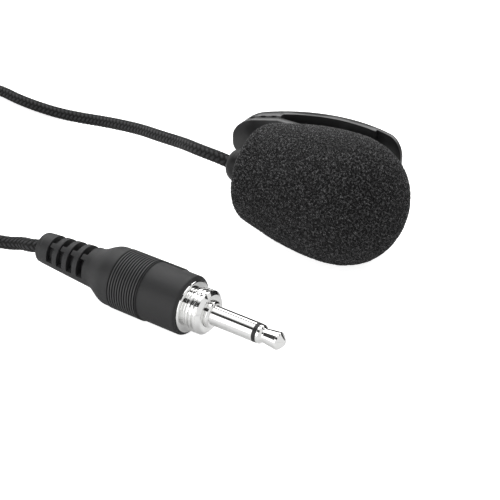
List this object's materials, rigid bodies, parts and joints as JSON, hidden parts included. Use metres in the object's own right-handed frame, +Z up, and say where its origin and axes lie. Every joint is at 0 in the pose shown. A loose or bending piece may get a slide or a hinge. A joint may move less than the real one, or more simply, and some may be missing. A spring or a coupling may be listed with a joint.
{
  "type": "lavalier microphone",
  "caption": "Clip-on lavalier microphone: capsule in a barrel under a slide-off foam windscreen, a sprung tie clip that turns on the barrel, and a braided lead with a locking mini plug.",
  "frame": {"origin": "on the standing surface, under the middle of the head: the windscreen, the barrel and the clip together", "axes": "+X along the microphone's axis towards the nose of the windscreen, +Y towards the clip, +Z up"},
  "size_m": [0.1287, 0.0631, 0.0247],
  "materials": {
    "foam": "charcoal open-cell polyurethane foam",
    "barrel": "black anodised, fine turned",
    "steel": "bright drawn wire and sheet",
    "felt": "dark acoustic felt",
    "can": "satin deep-drawn can",
    "brass": "plain brass",
    "film": "thin polymer film",
    "ivory_plastic": "natural moulded plastic",
    "chip": "black epoxy package",
    "board": "green solder mask",
    "solder": "soft solder",
    "rubber": "smooth black elastomer",
    "signal_insulation": "red wire insulation",
    "copper": "bare copper shield strands",
    "clip_plastic": "semi-gloss black ABS",
    "braid": "plaited black nylon",
    "tie": "black woven tie",
    "overmould": "matt dark grey PVC",
    "inner_plastic": "hard inner moulding",
    "plating": "bright nickel plate",
    "insulator": "black insulating ring"
  },
  "bodies": {
    "microphone": {"housing_barrel": "barrel", "grille_cap": "barrel", "grille_mesh": "steel", "dust_felt": "felt", "capsule_can": "can", "diaphragm_ring": "brass", "diaphragm": "film", "spacer": "film", "backplate": "brass", "backplate_holder": "ivory_plastic", "contact_ring": "brass", "fet": "chip", "capsule_board": "board", "solder_joints": "solder", "capsule_gasket": "rubber", "signal_wire": "signal_insulation", "shield_wire": "copper", "cable_anchor": "steel", "cable_gland": "rubber", "mic_cable": "braid", "cable_coil": "braid", "coil_tie": "tie", "plug_cable": "braid", "plug_overmould": "overmould", "plug_premould": "inner_plastic", "plug_collar": "plating", "plug_sleeve": "plating", "plug_insulator": "insulator", "plug_tip": "plating", "plug_rear_insulator": "ivory_plastic", "plug_tip_lug": "brass", "plug_sleeve_lug": "brass", "plug_signal_wire": "signal_insulation", "plug_shield_wire": "copper", "plug_crimp": "steel"},
    "windscreen": {"foam_windscreen": "foam"},
    "clip": {"clip_fixed_jaw": "clip_plastic", "clip_pin": "steel", "clip_spring": "steel"},
    "lever": {"clip_lever": "clip_plastic", "clip_spring_leg": "steel"}
  },
  "joints": [
    {"name": "windscreen_slide", "type": "slide", "parent": "microphone", "child": "windscreen", "axis": [1, 0, 0], "range_m": [0, 0.022]},
    {"name": "clip_turn", "type": "hinge", "parent": "microphone", "child": "clip", "pos_m": [-0.0106, -0.0048, 0.01235], "axis": [1, 0, 0], "continuous": true},
    {"name": "clip_squeeze", "type": "hinge", "parent": "clip", "child": "lever", "pos_m": [-0.0023, 0.0122, 0.01235], "axis": [0, 0, -1], "range_deg": [0, 13], "stiffness_Nm_per_rad": 0.1, "springref_deg": -34.38}
  ]
}
